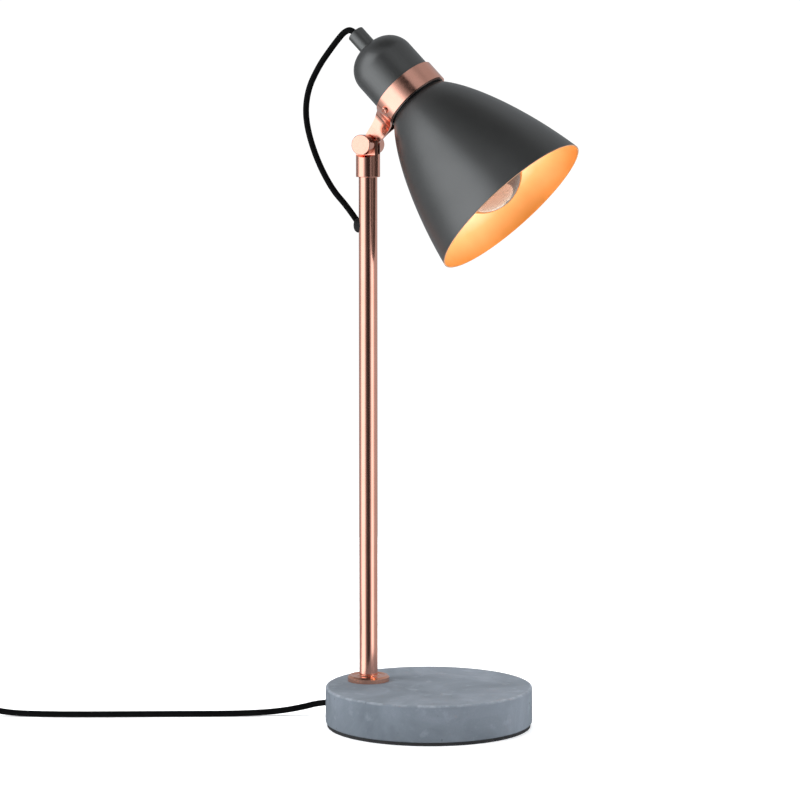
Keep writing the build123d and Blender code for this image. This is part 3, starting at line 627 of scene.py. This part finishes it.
# ---------------------------------------------------------------- camera and light
CAMERA_TURN = radians(23.5)
CAMERA_PITCH = radians(5.66)
CAMERA_AWAY = 2.147
CAMERA_HIGH = 0.450
CAMERA_ASIDE = -0.021
LIT_POINT = Vector((0, 0, 0.25))
BULB_LIGHT_S = 0.060  # from the strap's middle, along the shade's axis
FLOOR_RINGS = (0.3, 0.6, 0.95)
FLOOR_SIDES = 96
ahead = Vector((-sin(CAMERA_TURN), cos(CAMERA_TURN), 0))
right = Vector((cos(CAMERA_TURN), sin(CAMERA_TURN), 0))


def camera():
    """A long lens that looks slightly down at the lamp, turned a little from its front."""
    data = bpy.data.cameras.new("camera")
    data.lens = 135.0
    data.sensor_width = 36.0
    data.clip_end = 50.0
    holder = bpy.data.objects.new("camera", data)
    holder.location = ahead * -CAMERA_AWAY + right * CAMERA_ASIDE + Vector((0, 0, CAMERA_HIGH))
    holder.rotation_euler = (pi / 2 - CAMERA_PITCH, 0, CAMERA_TURN)
    scene.collection.objects.link(holder)
    scene.camera = holder


def area(name, place, size, power):
    """A soft box that points at the lamp's middle and lights it without being mirrored."""
    data = bpy.data.lights.new(name, "AREA")
    data.shape = "RECTANGLE"
    data.size, data.size_y = size
    data.energy = power
    lamp = bpy.data.objects.new(name, data)
    lamp.location = place
    lamp.rotation_euler = (LIT_POINT - place).to_track_quat("-Z", "Y").to_euler()
    lamp.visible_glossy = False  # what shiny metal mirrors is the sky
    scene.collection.objects.link(lamp)


# The sky's brightness in each direction, as (degrees to the camera's right, brightness): 0 is
# behind the camera, 180 is behind the lamp. One list serves each band of height, and heights
# are the z of the direction's unit vector: where a band begins to fade into the next, and ends.
SKY_UNDER = [
    (-180, 0.45), (-114, 0.45), (-101, 0.8), (-90, 1.8), (-48, 1.9), (-34, 1.0), (-10, 0.50),
    (90, 0.55), (180, 0.45)]
SKY_LEVEL = [
    (-180, 0.42), (-114, 0.38), (-101, 0.7), (-90, 1.75), (-48, 1.75), (-33, 0.50), (-20, 0.08),
    (0, 0.025), (18, 0.03), (32, 0.6), (45, 1.75), (62, 1.6), (82, 0.5), (180, 0.42)]
SKY_HIGH = [
    (-180, 0.45), (-130, 0.25), (-60, 0.22), (-18, 0.45), (20, 0.52), (60, 0.42), (128, 0.42),
    (180, 0.45)]
SKY_TOP = [(-180, 0.07), (180, 0.07)]
UNDER_TO_LEVEL = (-0.45, -0.25)
LEVEL_TO_HIGH = (0.63, 0.68)
HIGH_TO_TOP = (0.86, 0.95)
SKY_TINT = (0.95, 1.0, 1.05)


def studio():
    """Soft boxes and a dark room painted into the sky, which is white when seen directly."""
    world = bpy.data.worlds.new("studio")
    scene.world = world
    world.use_nodes = True
    tree = world.node_tree
    tree.nodes.clear()
    place = tree.nodes.new("ShaderNodeTexCoord").outputs["Generated"]
    turn = tree.nodes.new("ShaderNodeMapping")
    turn.inputs["Rotation"].default_value = (0, 0, pi / 2 - CAMERA_TURN)
    sweep = tree.nodes.new("ShaderNodeTexGradient")
    sweep.gradient_type = "RADIAL"
    split = tree.nodes.new("ShaderNodeSeparateXYZ")
    tree.links.new(place, turn.inputs["Vector"])
    tree.links.new(turn.outputs["Vector"], sweep.inputs["Vector"])
    tree.links.new(place, split.inputs["Vector"])

    def band(stops):
        made = tree.nodes.new("ShaderNodeValToRGB")
        elements = made.color_ramp.elements
        while len(elements) < len(stops):
            elements.new(0.5)
        for element, (turned, value) in zip(elements, stops):
            element.position = 0.5 + turned / 360
            element.color = (*(value * tint for tint in SKY_TINT), 1)
        tree.links.new(sweep.outputs["Color"], made.inputs["Fac"])
        return made.outputs["Color"]

    def over(heights, below, above):
        rise = tree.nodes.new("ShaderNodeMapRange")
        rise.inputs["From Min"].default_value, rise.inputs["From Max"].default_value = heights
        tree.links.new(split.outputs["Z"], rise.inputs["Value"])
        both = tree.nodes.new("ShaderNodeMixRGB")
        tree.links.new(rise.outputs["Result"], both.inputs["Fac"])
        tree.links.new(below, both.inputs["Color1"])
        tree.links.new(above, both.inputs["Color2"])
        return both.outputs["Color"]

    sky = over(UNDER_TO_LEVEL, band(SKY_UNDER), band(SKY_LEVEL))
    sky = over(LEVEL_TO_HIGH, sky, band(SKY_HIGH))
    sky = over(HIGH_TO_TOP, sky, band(SKY_TOP))
    lit = tree.nodes.new("ShaderNodeBackground")
    white = tree.nodes.new("ShaderNodeBackground")
    white.inputs["Color"].default_value = (1, 1, 1, 1)
    white.inputs["Strength"].default_value = 1.05
    seen = tree.nodes.new("ShaderNodeLightPath")
    either = tree.nodes.new("ShaderNodeMixShader")
    out = tree.nodes.new("ShaderNodeOutputWorld")
    tree.links.new(sky, lit.inputs["Color"])
    tree.links.new(seen.outputs["Is Camera Ray"], either.inputs["Fac"])
    tree.links.new(lit.outputs["Background"], either.inputs[1])
    tree.links.new(white.outputs["Background"], either.inputs[2])
    tree.links.new(either.outputs["Shader"], out.inputs["Surface"])


def floor():
    """A round sheet of white paper, kept out of reflections, that fades into the background."""
    s = Shader("studio_floor")
    paper = s.noise(8, 3)
    s.into("Base Color", s.mix(paper, (0.93, 0.93, 0.93), (0.95, 0.95, 0.95)))
    s.set(Roughness=0.9, Specular_IOR_Level=0.1)
    s.set(Emission_Color=(1, 1, 1, 1), Emission_Strength=0.30)
    LOOKS["floor"] = s.material
    turns = [2 * pi * i / FLOOR_SIDES for i in range(FLOOR_SIDES)]
    points, faces = [(0, 0, 0)], []
    for radius in FLOOR_RINGS:
        points += [(radius * cos(turn), radius * sin(turn), 0) for turn in turns]
    for i in range(FLOOR_SIDES):
        after = (i + 1) % FLOOR_SIDES
        faces.append((0, 1 + i, 1 + after))
        for ring in range(len(FLOOR_RINGS) - 1):
            a, b = 1 + ring * FLOOR_SIDES, 1 + (ring + 1) * FLOOR_SIDES
            faces.append((a + i, b + i, b + after, a + after))
    piece = add_mesh("studio_floor", points, faces, ["floor"])
    piece.visible_glossy = False


def lights():
    """Three soft boxes outside the lamp, and the warm light of its own bulb."""
    up = Vector((0, 0, 1))
    area("key_soft_box", -ahead * 0.8 - right * 1.7 + up * 1.5, (1.2, 1.2), 33)
    area("side_soft_box", right * 1.9 + ahead * 0.1 + up * 0.8, (0.8, 1.0), 19)
    area("top_soft_box", ahead * 0.5 + up * 2.0, (1.4, 1.4), 30)
    inner = bpy.data.lights.new("bulb_light", "POINT")
    inner.energy = 0.13
    inner.color = (1.0, 0.70, 0.36)
    inner.shadow_soft_size = 0.008
    holder = bpy.data.objects.new("bulb_light", inner)
    holder.location = BAND + HEAD_AXIS * BULB_LIGHT_S
    scene.collection.objects.link(holder)
    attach(holder, "head")


scene.view_settings.view_transform = "Standard"
camera()
mains_lead()
head_lead()
shade_bell()
floor()
studio()
lights()
